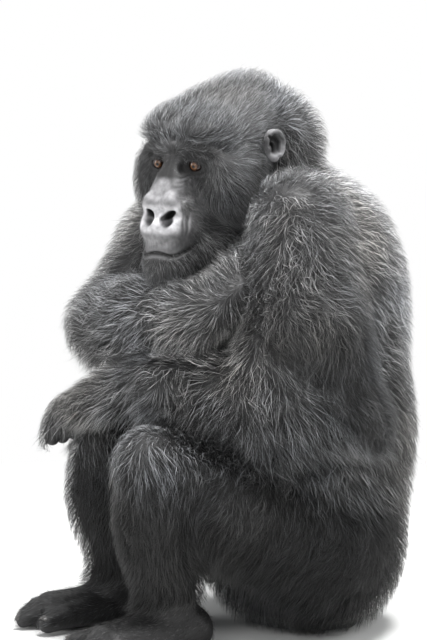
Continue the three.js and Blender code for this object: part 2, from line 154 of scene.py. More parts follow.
def joint(one, two):
    """The middle of the faces where two neighbouring nodes meet."""
    mine, other = vertices_of(one), vertices_of(two)
    apart = np.array([np.linalg.norm(other - place, axis=1).min() for place in mine])
    touching = mine[apart < 3 * MM]
    return (touching.min(axis=0) + touching.max(axis=0)) / 2


# ---- Regular grids of values ----

class Lattice:
    """The points of a regular grid round the whole animal."""

    def __init__(self, cell):
        low, high = (np.array(corner) for corner in CAD_BOX)
        self.cell = cell
        self.start = np.floor((low - MARGIN) / cell).astype(int)
        self.shape = tuple(np.ceil((high + MARGIN) / cell).astype(int) - self.start + 1)
        self.scale = vdb.createLinearTransform(voxelSize=cell)

    def points(self, first=(0, 0, 0), last=None):
        """The points of a block of the grid, given by its first and last steps, or of all of it."""
        axes = [np.arange(*ends) for ends in zip(first, last or self.shape)]
        places = np.stack(np.meshgrid(*axes, indexing="ij"), axis=-1).reshape(-1, 3)
        return (places + self.start) * self.cell

    def press(self, values, blend, distance, low, high):
        """Joins a shape to the one with these values, inside a box."""
        first = np.clip(np.floor(low / self.cell).astype(int) - self.start, 0, self.shape)
        last = np.clip(np.ceil(high / self.cell).astype(int) - self.start, 0, self.shape)
        for i in range(first[0], last[0]):
            part = values[i, first[1]:last[1], first[2]:last[2]]
            slab = distance(self.points((i, *first[1:]), (i + 1, *last[1:])))
            part[:] = join(blend, part, slab.reshape(part.shape))

    def distances(self, points, triangles, quads=None):
        """The distance to a closed surface, negative inside it."""
        surface = vdb.FloatGrid.createLevelSetFromPolygons(
            points.astype(np.float32), triangles=triangles, quads=quads,
            transform=self.scale, halfWidth=REACH / self.cell,
        )
        values = np.empty(self.shape, np.float32)
        surface.copyToArray(values, ijk=self.start.tolist())
        return values

    def surface(self, values, level=0.0):
        """The points and quads where the values equal the level."""
        drawn = vdb.FloatGrid(REACH)
        drawn.transform = self.scale
        drawn.copyFromArray(values.astype(np.float32), ijk=self.start.tolist())
        return drawn.convertToQuads(level)


class Field:
    """Values on a lattice, read anywhere between its points."""

    def __init__(self, lattice, values):
        self.lattice = lattice
        self.values = values

    def __call__(self, points):
        place = points / self.lattice.cell - self.lattice.start
        base = np.clip(np.floor(place).astype(int), 0, np.array(self.values.shape[:3]) - 2)
        share = np.clip(place - base, 0, 1)
        total = 0
        for corner in np.ndindex(2, 2, 2):
            weight = np.prod(np.where(corner, share, 1 - share), axis=1)
            x, y, z = (base + corner).T
            value = self.values[x, y, z]
            total = total + (weight[:, None] if value.ndim > 1 else weight) * value
        return total


def resampled(field, lattice):
    """The field's values at the points of a finer lattice."""
    values = field.values
    for axis in range(3):
        steps = np.arange(lattice.shape[axis]) + lattice.start[axis]
        place = steps * lattice.cell / field.lattice.cell - field.lattice.start[axis]
        base = np.clip(np.floor(place).astype(int), 0, values.shape[axis] - 2)
        share = np.clip(place - base, 0, 1).astype(np.float32)
        share = share.reshape([-1 if i == axis else 1 for i in range(3)])
        values = mix(np.take(values, base, axis), np.take(values, base + 1, axis), share)
    return values


def rounded(values, sigma):
    """The values smoothed over a distance of sigma cells along each axis."""
    reach = int(math.ceil(2.5 * sigma))
    weights = np.exp(-0.5 * (np.arange(-reach, reach + 1) / sigma) ** 2)
    weights /= weights.sum()
    for axis in range(3):
        length = values.shape[axis]
        padded = np.pad(values, [(reach * (i == axis),) * 2 for i in range(3)], "edge")
        padded = np.moveaxis(padded, axis, 0)
        total = np.zeros((length, *padded.shape[1:]), np.float32)
        for k, weight in enumerate(weights):
            total += np.float32(weight) * padded[k:k + length]
        values = np.moveaxis(total, 0, axis)
    return values


def slope(distance, points, reach):
    """The direction in which a distance grows fastest."""
    steps = reach * np.eye(3)
    return unit(np.column_stack([distance(points + s) - distance(points - s) for s in steps]))


# ---- Shapes given by a distance, for any number of points at once ----

def length_of(vectors):
    return np.sqrt(np.einsum("ij,ij->i", vectors, vectors))


def ellipsoid(p, centre, radii, turn=None):
    q = p - np.array(centre, float)
    if turn is not None:
        q = q @ turn
    q = q / np.array(radii, float)
    reach = length_of(q)
    steepness = np.maximum(length_of(q / np.array(radii, float)), 1e-9)
    return reach * (reach - 1) / steepness


def bar(p, start, end, start_radius, end_radius):
    start = np.array(start, float)
    along = np.array(end, float) - start
    share = np.clip((p - start) @ along / max(along @ along, 1e-12), 0, 1)
    gap = length_of(p - start - share[:, None] * along)
    return gap - mix(start_radius, end_radius, share)


def limb(p, points, radii, blend):
    pairs = zip(points, points[1:], radii, radii[1:])
    return join(blend, *(bar(p, *pair) for pair in pairs))


def join(blend, *distances):
    """One shape of several, with the creases between them filled."""
    nearest = distances[0]
    for distance in distances[1:]:
        overlap = np.maximum(blend - np.abs(nearest - distance), 0) / blend
        nearest = np.minimum(nearest, distance) - overlap * overlap * blend / 4
    return nearest


def carve(blend, whole, hollow):
    """One shape pressed into another, with rounded edges."""
    return -join(blend, -whole, hollow)


def tilt(axis, angle):
    """A turn about an axis, in degrees, for the shapes above."""
    return np.array(Matrix.Rotation(math.radians(angle), 3, axis))


# ---- The frame of the head, in millimetres: x to its right, y forward, z up ----

# Where the eyes and ears are in that frame; their solids say where the frame is.
EYE = np.array([35.0, 112.0, -2.0])
EYE_RADIUS = 12.7
EAR = np.array([104, 0, 0])


class HeadFrame:
    """Turns places and directions to the frame of the head and back."""

    def __init__(self):
        left, right = (spot(node, .5, .5, .5) for node in EYES)
        ears = (spot("ear_left", .5, .5, .5) + spot("ear_right", .5, .5, .5)) / 2
        eyes = (left + right) / 2
        across = unit(right - left)
        ahead = eyes - ears
        ahead = unit(ahead - (ahead @ across) * across)
        rise = math.atan2(EYE[2], EYE[1])
        forward = math.cos(rise) * ahead - math.sin(rise) * np.cross(across, ahead)
        self.axes = np.column_stack((across, forward, np.cross(across, forward)))
        self.origin = eyes - self.axes @ np.array([0, EYE[1], EYE[2]]) * MM

    def inward(self, points):
        return (points - self.origin) @ self.axes / MM

    def turned(self, directions):
        return np.asarray(directions, float) @ self.axes.T


HEAD = HeadFrame()


def mirrored(q):
    """The two sides of the head carry the same shape."""
    return np.column_stack((np.abs(q[:, 0]), q[:, 1], q[:, 2]))


def head_outline(q):
    """The head out to the tips of its coat, with no ears."""
    m = mirrored(q)
    return join(
        16,
        ellipsoid(q, (0, -12, 24), (94, 122, 74)),
        ellipsoid(q, (0, -60, 48), (64, 84, 50)),
        ellipsoid(m, (40, 50, 32), (50, 52, 44)),
        ellipsoid(m, (62, 22, -6), (37, 72, 78)),
        bar(m, (74, 96, -2), (79, 34, -24), 22, 30),
        ellipsoid(m, (65, 79, -45), (45, 54, 58)),
        bar(m, (24, 84, -24), (34, 112, -68), 30, 34),
        bar(m, (5, 111, 8), (11, 150, -46), 18, 24),
        ellipsoid(m, (30, 66, 48), (56, 62, 34)),
        ellipsoid(q, (0, 140, -92), (58, 60, 42)),
        ellipsoid(q, (0, 162, -146), (52, 50, 40)),
        bar(m, (64, 24, -74), (38, 122, -134), 42, 40),
        ellipsoid(q, (0, 40, -110), (68, 80, 62)),
        bar(m, (0, 121, 31), (70, 99, 18), 15, 13),
    )


def bare_face(q):
    """How far a place is from the bare skin round the eyes, nose and mouth."""
    m = mirrored(q)
    return join(
        14,
        ellipsoid(m, EYE + (-4, 6, -5), (16, 24, 11)),
        bar(q, (0, 126, -6), (0, 178, -62), 15, 36),
        ellipsoid(q, (0, 176, -92), (48, 44, 38)),
    )


def head_coat(q):
    """The depth of the coat on the head: next to nothing on the face, deepest at the back."""
    away = np.maximum(bare_face(q), 0)
    thick = mix(13.0, 19.0, step(20, -90, q[:, 1]))
    thick = mix(thick, 8.0, step(-90, -125, q[:, 2]) * step(60, 120, q[:, 1]))
    return 0.6 + thick * (1 - np.exp(-away / 28))


def mouth_height(x):
    """The line of the mouth: level in the middle, sagging at the sides and rising to its corners."""
    x = np.abs(x)
    return -121 - 6 * np.exp(-((x - 26) / 13) ** 2) + 7 * step(36, 54, x)


def dent(offset, width):
    """A rounded furrow along the line where offset is 0."""
    return np.exp(-(offset / width) ** 2)


def folds_beside_nose(m):
    """How strong the upright folds between nose and cheek are, and where between them a place is."""
    x, y, z = m.T
    off = x - 27 - 13 * step(-8, -70, z)
    strength = step(60, 100, y) * step(-3, 1, off) * step(17, 9, off)
    strength = strength * step(-104, -86, z) * step(-12, -26, z)
    return strength, 0.5 + 0.5 * np.cos((off + 1.5 * np.sin(z * 0.16)) * math.tau / 4.4)


def ear_shape(m):
    """A thin bowl with a rolled rim, a ridge inside it, a lobe, and a flap before its hole."""
    e = (m - EAR) @ tilt("Z", 20)
    shell = join(5, ellipsoid(e, (-1, 0, 0), (8, 17.5, 24.5)), ellipsoid(e, (3, 3, -19), (5, 9, 9)))
    away = np.linalg.norm(e[:, 1:] / (15.5, 21.5), axis=1)
    rim = np.hypot((away - 1) * 18, e[:, 0] - 6.5 - 0.08 * e[:, 2]) - 3.6
    rim = np.maximum(rim, e[:, 1] * 0.8 - e[:, 2] - 16)
    shape = join(3, shell, rim)
    shape = carve(4, shape, ellipsoid(e, (8, 2, 1), (9, 11, 17)))
    ridge = limb(e, [(4, -7, -10), (5, -9, 3), (5, -3, 13), (3, 4, 16)], [2.6, 2.8, 2.4, 1.6], 2)
    flap = ellipsoid(e, (3, 11, -4), (4.5, 4.5, 6))
    shape = join(3, shape, ridge, flap)
    return carve(3, shape, ellipsoid(e, (0, 5, -3), (8, 4.5, 7)))


def head_flesh(q):
    """The skin of the head: the outline less the coat, with the folds of the face."""
    m = mirrored(q)
    x, y, z = m.T
    front = step(60, 100, y)
    face = head_outline(q) + head_coat(q)

    face = carve(9, face, ellipsoid(m, EYE + (0, 16, -1), (20, 17, 12)))
    face = join(8, face, ellipsoid(m, EYE + (0, -1, 0), (17.5, 15.4, 14)))
    face = carve(2, face, ellipsoid(m, EYE + (0.5, 13, -0.8), (14.3, 14, 8.2), tilt("Y", 6)))
    around = np.linalg.norm((m - EYE)[:, [0, 2]] / (1.25, 1), axis=1)
    lids = front * step(0, 6, around) * step(40, 26, around) * step(17, 27, x)
    face += lids * 0.9 * dent(around - 12.5, 1.3) * step(-3, 1, z - EYE[2])
    below = step(-5, -10, z - EYE[2])
    wrinkles = 1.1 * dent(around - 17, 1.6) + 0.9 * dent(around - 22, 1.5)
    wrinkles = wrinkles + 0.7 * dent(around - 27, 1.5)
    face += lids * below * wrinkles
    face -= lids * below * (0.7 * dent(around - 14, 2.2) + 0.5 * dent(around - 20, 2))

    rim = [(5, 171, -48), (19, 170, -46), (32, 160, -56), (33, 156, -69), (22, 163, -81), (5, 170, -83)]
    face = join(7, face, limb(m, rim, [8, 11, 11.5, 11, 9, 7], 5))
    face = carve(9, face, ellipsoid(m, (16.5, 184, -74), (9, 10, 7.5), tilt("Y", -30)))
    face = carve(3.5, face, ellipsoid(m, (17, 182, -66), (12.3, 24, 5.4), tilt("Y", -30)))
    face += front * 1.3 * dent(x, 2.2) * step(-40, -50, z) * step(-88, -78, z)
    face += front * 1.0 * dent(x, 3) * step(-84, -90, z) * step(-118, -108, z)
    strength, folds = folds_beside_nose(m)
    face += 1.5 * strength * folds

    across = z - mouth_height(q[:, 0] + 0.8)
    mouth = front * step(54, 45, x)
    face += mouth * 3.6 * dent(across, 2.4)
    face -= mouth * (1.8 * dent(across + 5, 3.0) + 0.6 * dent(across - 6, 4.5))
    creases = np.cos(q[:, 0] * math.tau / 5.2 + 1.5 * np.sin(z * 0.11))
    face += mouth * 0.3 * creases * dent(across - 17, 9)
    return join(4, face, ear_shape(m))


# ---- Hands and feet, in millimetres along the frame's own axes ----

SIDES = ("left", "right")
ELBOWS = {side: joint(f"upper_arm_{side}", f"forearm_{side}") for side in SIDES}
WRISTS = {side: joint(f"forearm_{side}", f"hand_{side}") for side in SIDES}
KNEES = {side: joint(f"thigh_{side}", f"shin_{side}") for side in SIDES}

# The places in the boxes of the hands of the wrist, the knuckles, the middle joints and the tips;
# the way across the palm, and the side of it that the thumb is on.
HANDS = {
    "left": ((.87, .73, .73), (.42, .43, .59), (.22, .28, .46), (.08, .24, .13), (.18, -.95, -.31), 1),
    "right": ((.52, .28, .34), (.47, .76, .64), (.47, 1.1, .78), (.26, 1.3, .7), (.74, -.33, -.58), -1),
}
# The places in the boxes of the feet of the ankle, the heel, the ball and the toes, and the way out.
FEET = {
    "left": ((.41, .70, .75), (.39, .84, .34), (.53, .29, .27), (.59, .06, .15), 1),
    "right": ((.64, .69, .75), (.66, .84, .34), (.48, .29, .27), (.40, .06, .15), -1),
}
# How far to the side the fingers and toes stand, and how deep the creases between them are filled.
FINGERS = (-36, -12, 12, 36)
TOES = (-13, 7, 27, 45)
CREASE = 6


def hand_bones(which):
    """The chains of joints of the four fingers and the thumb, and the radii along them."""
    *places, across, thumb = HANDS[which]
    wrist, knuckle, middle, tip = (spot(f"hand_{which}", *place) / MM for place in places)
    across = unit(across)
    chains = []
    for i, offset in enumerate(FINGERS):
        reach = 1 - 0.1 * abs(i - 1.3)
        last = middle + (tip - middle) * reach
        bend = mix(middle, last, 0.5) + unit(middle - knuckle) * 5
        joints = zip((knuckle, middle, bend, last), (1, 1, .98, .94))
        chain = [place + across * offset * closer for place, closer in joints]
        chains.append((np.array(chain), [16, 14, 13, 11.5]))
    side = across * thumb
    root = mix(wrist, knuckle, 0.35) + side * 30
    end = mix(wrist, knuckle, 0.98) + side * 60
    chains.append((np.array([root, mix(root, end, 0.55) + side * 4, end]), [19, 15, 12]))
    return wrist, knuckle, across, chains


HAND_BONES = {side: hand_bones(side) for side in SIDES}


def palm_way(which):
    """The direction that the palm faces."""
    wrist, knuckle, across, _ = HAND_BONES[which]
    return unit(np.cross(knuckle - wrist, across)) * (-1 if which == "left" else 1)


def hand_flesh(p, which):
    wrist, knuckle, across, chains = HAND_BONES[which]
    arm = mix(wrist, ELBOWS[which] / MM, 0.35)
    palm = [bar(p, wrist + across * k * 12, knuckle + across * k * 25, 31, 22) for k in (-1, 0, 1)]
    shape = join(12, bar(p, arm, wrist, 42, 34), *palm)
    for chain, radii in chains:
        shape = join(CREASE, shape, limb(p, chain, radii, 4))
    return shape


def foot_bones(which):
    """The same of the four toes and the great toe."""
    *places, out = FEET[which]
    ankle, heel, ball, toes = (spot(f"foot_{which}", *place) / MM for place in places)
    side = np.array([out, 0, 0])
    chains = []
    for i, offset in enumerate(TOES):
        start = ball + side * offset * 0.85 + (0, 0, -2)
        end = np.array([toes[0], toes[1] + i * 10 + 4, 14]) + side * offset
        chains.append((np.array([start, mix(start, end, 0.5) + (0, 0, 5), end]), [16, 13.5, 11.5]))
    root = mix(heel, ball, 0.5) - side * 26
    great = [root, ball - side * 48 + (0, 0, -2), ball + (0, -36, -8) - side * 60]
    chains.append((np.array(great), [24, 20, 15.5]))
    return ankle, heel, ball, side, chains


FOOT_BONES = {side: foot_bones(side) for side in SIDES}


def foot_flesh(p, which):
    ankle, heel, ball, side, chains = FOOT_BONES[which]
    knee = KNEES[which] / MM
    sole = [bar(p, heel + side * k * 8, ball + side * k * 22, 31, 25) for k in (-1, 0, 1)]
    leg = bar(p, mix(ankle, knee, 0.3), ankle, 43, 36)
    instep = bar(p, ankle, mix(heel, ball, 0.6), 38, 26)
    shape = join(16, leg, instep, bar(p, ankle, heel, 36, 31), *sole)
    for chain, radii in chains:
        shape = join(CREASE, shape, limb(p, chain, radii, 4))
    return shape


# ---- The lie of the coat on each node ----

DOWN = np.array([0.0, 0.0, -1.0])
BACK = np.array([0.0, 1.0, 0.0])


def towards(direction):
    return lambda points: np.broadcast_to(unit(direction), points.shape)


def lie_on_head(points):
    """Back over the crown from the brow, and down over the temples, cheeks and chin."""
    q = HEAD.inward(points)
    front = step(60, 105, q[:, 1])[:, None]
    crown = step(mix(-25, 8, front), mix(45, 20, front), q[:, 2:])
    over = np.array([0, -1.0, 0]) + front * np.array([0, 0, 0.45])
    down = np.array([0, -0.45, -1.0])
    side = np.sign(q[:, :1]) * (np.array([0.3, 0, 0]) * front)
    return HEAD.turned(unit(mix(down, over, crown) + side))


def head_depth(points):
    return head_coat(HEAD.inward(points)) * MM


def head_length(points):
    """The hairs of the head: not much longer than the coat is deep, so that it looks smooth."""
    return 1.7 * head_depth(points) + 6 * MM


def painted_light_by_height(*stops):
    """A tone that changes with the height over the floor, from pairs of a height and a tone: painted
    light, paler higher up where the light from above falls and darker lower down as painted shade.
    """
    return lambda points: np.interp(points[:, 2], *zip(*stops))


def upper_arm_lie(side):
    """Back over the shoulder, then down and back to the elbow."""
    top = spot(f"upper_arm_{side}", .5, .5, 1)
    down = unit(ELBOWS[side] - top) + 0.45 * BACK
    over = 0.7 * BACK + 0.5 * DOWN + np.array([0.7 if side == "left" else -0.7, 0, 0])
    return lambda points: unit(mix(down, over, step(-110 * MM, -30 * MM, points[:, 2:] - top[2])))


def along_left_forearm(points):
    """How far along the bone of the left forearm a place is, from 0 at the elbow to 1."""
    start, end = ELBOWS["left"], WRISTS["left"]
    return (points - start) @ (end - start) / np.sum((end - start) ** 2)


def left_forearm_lie(points):
    """Down off the bone, turning towards the elbow near it and towards the hand near the wrist."""
    turn = mix(-0.4, 0.8, step(0.3, 1.0, along_left_forearm(points)))
    return unit(DOWN + turn[:, None] * unit(WRISTS["left"] - ELBOWS["left"]))


def thigh_lie(side):
    hip = spot(f"thigh_{side}", .5, 1, .2)
    return towards(0.5 * unit(KNEES[side] - hip) + 0.8 * DOWN)


def fringe_depth(points):
    """The left forearm hangs a fringe below its bone, deepest by the elbow."""
    start, end = ELBOWS["left"], WRISTS["left"]
    share = np.clip(along_left_forearm(points), 0, 1)
    below = (start + share[:, None] * (end - start) - points)[:, 2]
    return mix(22 * MM, 48 * MM, step(20 * MM, 75 * MM, below) * step(1.4, 0.7, share))


# What is given of the coat of each node: its depth and the length of its hairs (mm, and metres from a
# function), how light and how curly it is, and its lie. How light the chest, arms and legs are holds
# painted light on top and painted shade below.
COLUMNS = ("depth", "length", "tone", "curl", "lie")
TOWARDS_HAND = unit(WRISTS["left"] - ELBOWS["left"])
TOWARDS_ELBOW = unit(ELBOWS["right"] - WRISTS["right"])
COAT = {
    "head": (head_depth, head_length, .135, .6, lie_on_head),
    "jaw": (head_depth, head_length, .14, .4, lie_on_head),
    "neck": (22, 32, .14, .9, lie_on_head),
    "chest": (24, 38, painted_light_by_height((.34, .06), (.55, .24)), 1, towards(DOWN + 0.55 * BACK)),
    "belly": (24, 46, .08, .6, towards(DOWN + 0.15 * BACK)),
    "pelvis": (22, 42, .05, .5, towards(DOWN)),
    "forearm_left": (
        fringe_depth, 40, painted_light_by_height((.3, .04), (.38, .07), (.46, .2)), 1.1, left_forearm_lie,
    ),
    "forearm_right": (18, 42, .13, 1, towards(TOWARDS_ELBOW + 0.45 * DOWN)),
    "hand_left": (13, 44, .12, .8, towards(TOWARDS_HAND + 0.5 * DOWN)),
    "hand_right": (8, 34, .1, .4, towards(TOWARDS_ELBOW + 0.35 * DOWN)),
}
for side, outward in zip(SIDES, (1, -1)):
    COAT |= {
        f"ear_{side}": (1.5, 8, .1, .1, lie_on_head),
        f"upper_arm_{side}": (
            24, 38, painted_light_by_height((.34, .025), (.5, .05), (.66, .16)), 1.1, upper_arm_lie(side),
        ),
        f"thigh_{side}": (18, 38, painted_light_by_height((.2, .012), (.28, .04), (.36, .18)), .7, thigh_lie(side)),
        f"shin_{side}": (
            18, 38, painted_light_by_height((.22, .008), (.28, .04), (.36, .18)), .6, towards(DOWN - 0.1 * BACK),
        ),
        f"foot_{side}": (4, 12, .05, .2, towards((0.3 * outward, -1, -.3))),
    }

# Neighbouring nodes share their coats over this distance; a smaller share than this is left out.
SHARING = 11 * MM
LEAST_SHARE = 0.01
# The nodes that have a sculpt of their own give no skin of their own.
NO_SKIN = 70 * MM


class Coat:
    """The depth, length, tone, curl and lie of the coat, and the node, everywhere round the animal."""

    def __init__(self):
        lattice = Lattice(COAT_CELL)
        points = lattice.points()
        away = np.stack([
            lattice.distances(vertices_of(node), faces_of(node)).ravel() for node in FLESH
        ])
        nearest = away.min(axis=0)
        known = np.flatnonzero(np.abs(nearest) < 0.95 * REACH)
        points = points[known]
        weights = np.exp(-(away[:, known] - nearest[known]) / SHARING)
        weights[weights < LEAST_SHARE] = 0
        weights /= weights.sum(axis=0)

        def blended(column, scale=1.0, width=1):
            total = np.zeros((nearest.size, width), np.float32)
            for node, weight in zip(FLESH, weights):
                used = np.flatnonzero(weight)
                value = COAT[node][COLUMNS.index(column)]
                value = value(points[used]) if callable(value) else value * scale
                total[known[used]] += weight[used, None] * np.reshape(value, (-1, width))
            total = total.reshape(*lattice.shape, width)
            return Field(lattice, total if width > 1 else total[..., 0])

        def belonging(nodes):
            """How much a place belongs to some nodes, from 0 to 1."""
            total = np.zeros(nearest.size, np.float32)
            total[known] = sum(weights[FLESH.index(node)] for node in nodes)
            return total.reshape(lattice.shape)

        self.depth = blended("depth", MM)
        self.length = blended("length", MM)
        self.tone = blended("tone")
        self.curl = blended("curl")
        self.lie = blended("lie", width=3)
        self.limb_end = Field(lattice, belonging(LIMB_ENDS))
        sculpted = belonging(HEAD_NODES + LIMB_ENDS)
        self.inset = Field(lattice, mix(self.depth.values, NO_SKIN, sculpted))
        self.owner = Field(lattice, away.argmin(axis=0).reshape(lattice.shape))

    def node_at(self, points):
        """The number in FLESH of the node that each point belongs to."""
        place = np.rint(points / COAT_CELL - self.owner.lattice.start).astype(int)
        x, y, z = np.clip(place, 0, np.array(self.owner.values.shape) - 1).T
        return self.owner.values[x, y, z]


# ---- The skin ----

def joined_flesh():
    """All the nodes of flesh as one set of points and triangles."""
    points, triangles, count = [], [], 0
    for node in FLESH:
        points.append(vertices_of(node))
        triangles.append(faces_of(node) + np.uint32(count))
        count += len(points[-1])
    return np.concatenate(points), np.concatenate(triangles)


def outer_distance(lattice):
    """The distance to the tips of the coat: the solids as one, with their facets rounded off."""
    split = lattice.distances(*joined_flesh())
    points, quads = lattice.surface(split, GAP_COVER)
    whole = lattice.distances(points, None, quads)
    return rounded(whole, ROUNDING / lattice.cell)


# A sculpt runs smoothly into the rest over this distance.
SCULPT_BLEND = 14 * MM
# How far past the boxes of its nodes a sculpt reaches.
SCULPT_ROOM = 70 * MM
# The fine parts of the skin are moved onto the exact shape in rounds of short steps, in batches.
SETTLE_ROUNDS = 3
SETTLE_STEP = 1.5 * MM
SETTLE_AT_ONCE = 20000


def sculpts():
    """The distance to each sculpt, with the box that holds it."""
    shapes = {HEAD_NODES: lambda p: head_flesh(HEAD.inward(p)) * MM}
    for side in SIDES:
        shapes[f"hand_{side}",] = lambda p, side=side: hand_flesh(p / MM, side) * MM
        shapes[f"foot_{side}",] = lambda p, side=side: foot_flesh(p / MM, side) * MM
    for nodes, distance in shapes.items():
        lows, highs = zip(*map(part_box, nodes))
        yield np.min(lows, axis=0) - SCULPT_ROOM, np.max(highs, axis=0) + SCULPT_ROOM, distance


class Skin:
    """The distance to the skin, which lies inside the solids by the depth of the coat."""

    def __init__(self, coat):
        lattice = Lattice(SKIN_CELL)
        self.outer = Field(lattice, outer_distance(lattice))
        self.body = Field(lattice, self.outer.values + resampled(coat.inset, lattice))
        values = self.body.values.copy()
        for low, high, distance in sculpts():
            lattice.press(values, SCULPT_BLEND, distance, low, high)
        heights = (np.arange(lattice.shape[2]) + lattice.start[2]) * lattice.cell
        self.near = Field(lattice, np.maximum(values, -heights.astype(np.float32)))

    def exact(self, points):
        """The distance worked out anew, with the details that the lattice is too coarse for."""
        total = self.body(points)
        for low, high, distance in sculpts():
            inside = within(points, low, high)
            if inside.any():
                total[inside] = join(SCULPT_BLEND, total[inside], distance(points[inside]))
        return np.maximum(total, -points[:, 2])

    def settle(self, points):
        """The points moved onto the skin."""
        settled = []
        for some in np.array_split(points, len(points) // SETTLE_AT_ONCE + 1):
            normals = slope(self.exact, some, 0.4 * MM)
            for _ in range(SETTLE_ROUNDS):
                move = np.clip(self.exact(some), -SETTLE_STEP, SETTLE_STEP)
                some = some - normals * move[:, None]
            settled.append(some)
        return np.concatenate(settled)


def placed(name, data):
    """A new object in the scene."""
    made = bpy.data.objects.new(name, data)
    bpy.context.scene.collection.objects.link(made)
    return made


def smooth(mesh):
    store(mesh.polygons, "use_smooth", np.ones(len(mesh.polygons)), bool)


def mesh_object(name, points, faces):
    mesh = bpy.data.meshes.new(name)
    mesh.from_pydata(np.asarray(points).tolist(), [], faces)
    mesh.validate()
    smooth(mesh)
    return placed(name, mesh)


def tag(mesh, name, values):
    """Stores a number, or three, at each vertex."""
    kind, key = ("FLOAT_VECTOR", "vector") if np.ndim(values) > 1 else ("FLOAT", "value")
    store(mesh.attributes.new(name, kind, "POINT").data, key, values)


# The skin is divided twice this close to the face and ears (mm), and once this close.
VERY_FINE, FINE = 6, 30
# It is divided once in the boxes of the hands and feet, and this far round them.
FINE_ROOM = 4 * MM


def fine_parts(points):
    """How many times the skin is divided."""
    q = HEAD.inward(points)
    m = mirrored(q)
    face = np.minimum(bare_face(q), ellipsoid(m, EAR, (14, 22, 28)))
    times = np.where(face < VERY_FINE, 2, np.where(face < FINE, 1, 0))
    for node in LIMB_ENDS:
        low, high = box_of(node)
        times = np.maximum(times, within(points, low - FINE_ROOM, high + FINE_ROOM))
    return times


def divide(made, wanted):
    """Divides the quads all of whose corners are wanted."""
    work = bmesh.new()
    work.from_mesh(made.data)
    work.verts.ensure_lookup_table()
    chosen = [face for face in work.faces if all(wanted[v.index] for v in face.verts)]
    edges = {edge for face in chosen for edge in face.edges}
    bmesh.ops.subdivide_edges(work, edges=list(edges), cuts=1, use_grid_fill=True)
    bmesh.ops.triangulate(work, faces=[face for face in work.faces if len(face.verts) > 4])
    work.to_mesh(made.data)
    work.free()


def make_skin(skin):
    points, quads = skin.near.lattice.surface(skin.near.values)
    made = mesh_object("skin", points, quads[:, ::-1].tolist())
    for level in (1, 2):
        divide(made, fine_parts(places_of(made.data)) >= level)
    places = places_of(made.data)
    fine = fine_parts(places) >= 1
    places[fine] = skin.settle(places[fine])
    store(made.data.vertices, "co", places)
    smooth(made.data)
    made.data.update()
    return made


def bare(points):
    """How bare the skin is, from 0 under the coat to 1: face, inner ears, palms and soles."""
    q = HEAD.inward(points)
    m = mirrored(q)
    face = step(14, -2, bare_face(q))
    ear = step(8, 0, ellipsoid(m, EAR, (12, 20, 26))) * step(90, 96, m[:, 0])
    soles = np.zeros(len(points))
    for side in SIDES:
        wrist, knuckle = HAND_BONES[side][:2]
        inside = np.flatnonzero(within(points, *box_of(f"hand_{side}")))
        offset = (points[inside] - knuckle * MM) @ palm_way(side)
        ahead = (points[inside] - wrist * MM) @ unit(knuckle - wrist)
        skin = step(8, 3, hand_flesh(points[inside] / MM, side))
        soles[inside] = skin * step(0.017, 0.027, offset) * step(0.03, 0.06, ahead)
        inside = within(points, *box_of(f"foot_{side}"))
        soles = np.maximum(soles, inside * step(0.02, 0.008, points[:, 2]))
    return np.maximum(np.maximum(face, ear), soles)


# ---- Materials ----

def fill(tree, node, inputs):
    """Gives inputs of a node a value or a link; i0, i1 ... are inputs without a name of their own."""
    for key, value in inputs.items():
        socket = node.inputs[int(key[1:]) if key[1:].isdigit() else key.replace("_", " ")]
        if isinstance(value, bpy.types.NodeSocket):
            tree.links.new(value, socket)
        else:
            socket.default_value = value


def adder(tree):
    """A function that adds a node with some settings and inputs, and returns its outputs."""
    def add(kind, settings=(), **inputs):
        node = tree.nodes.new(kind)
        for key, value in settings:
            setattr(node, key, value)
        fill(tree, node, inputs)
        return node.outputs

    return add


def material(name, **inputs):
    """A new material, and functions that add nodes and fill inputs of its shader."""
    made = bpy.data.materials.new(name)
    made.use_nodes = True
    tree = made.node_tree
    shader = tree.nodes["Principled BSDF"]
    fill(tree, shader, inputs)
    return made, adder(tree), lambda **inputs: fill(tree, shader, inputs)


def attribute(add, name, output="Fac"):
    return add("ShaderNodeAttribute", [("attribute_name", name)])[output]


def scaled(add, colour, amount):
    return add("ShaderNodeVectorMath", [("operation", "SCALE")], i0=colour, Scale=amount)["Vector"]


def maths(add, operation, one, two):
    return add("ShaderNodeMath", [("operation", operation)], i0=one, i1=two)["Value"]


def spread(add, value, low, high, to_low, to_high):
    """The value mapped from one range to another."""
    ranges = dict(From_Min=low, From_Max=high, To_Min=to_low, To_Max=to_high)
    return add("ShaderNodeMapRange", Value=value, **ranges)["Result"]


def noise(add, scale, detail=3.0):
    place = add("ShaderNodeTexCoord")["Object"]
    return add("ShaderNodeTexNoise", Vector=place, Scale=scale, Detail=detail)["Fac"]


def bump(add, height, distance, strength):
    return add("ShaderNodeBump", Strength=strength, Distance=distance, Height=height)["Normal"]


def coat_material():
    """Grey-black hair: each lock has its own tone, some pale partly as painted sheen, darker towards
    its root as painted shade and paler towards its tip, with browner patches.
    """
    made, add, put = material("coat", Roughness=0.4, Sheen_Weight=0.1, Specular_IOR_Level=0.35)
    patches = spread(add, noise(add, 9), 0.3, 0.7, 0.82, 1.18)
    tone = maths(add, "MULTIPLY", attribute(add, "tone"), patches)
    browner = spread(add, noise(add, 5), 0.35, 0.65, 0.0, 1.0)
    hues = dict(i6=(0.96, 1.0, 1.07, 1), i7=(1.03, 1.0, 0.96, 1))
    hue = add("ShaderNodeMix", [("data_type", "RGBA")], i0=browner, **hues)[2]
    put(Base_Color=scaled(add, hue, tone))
    return made


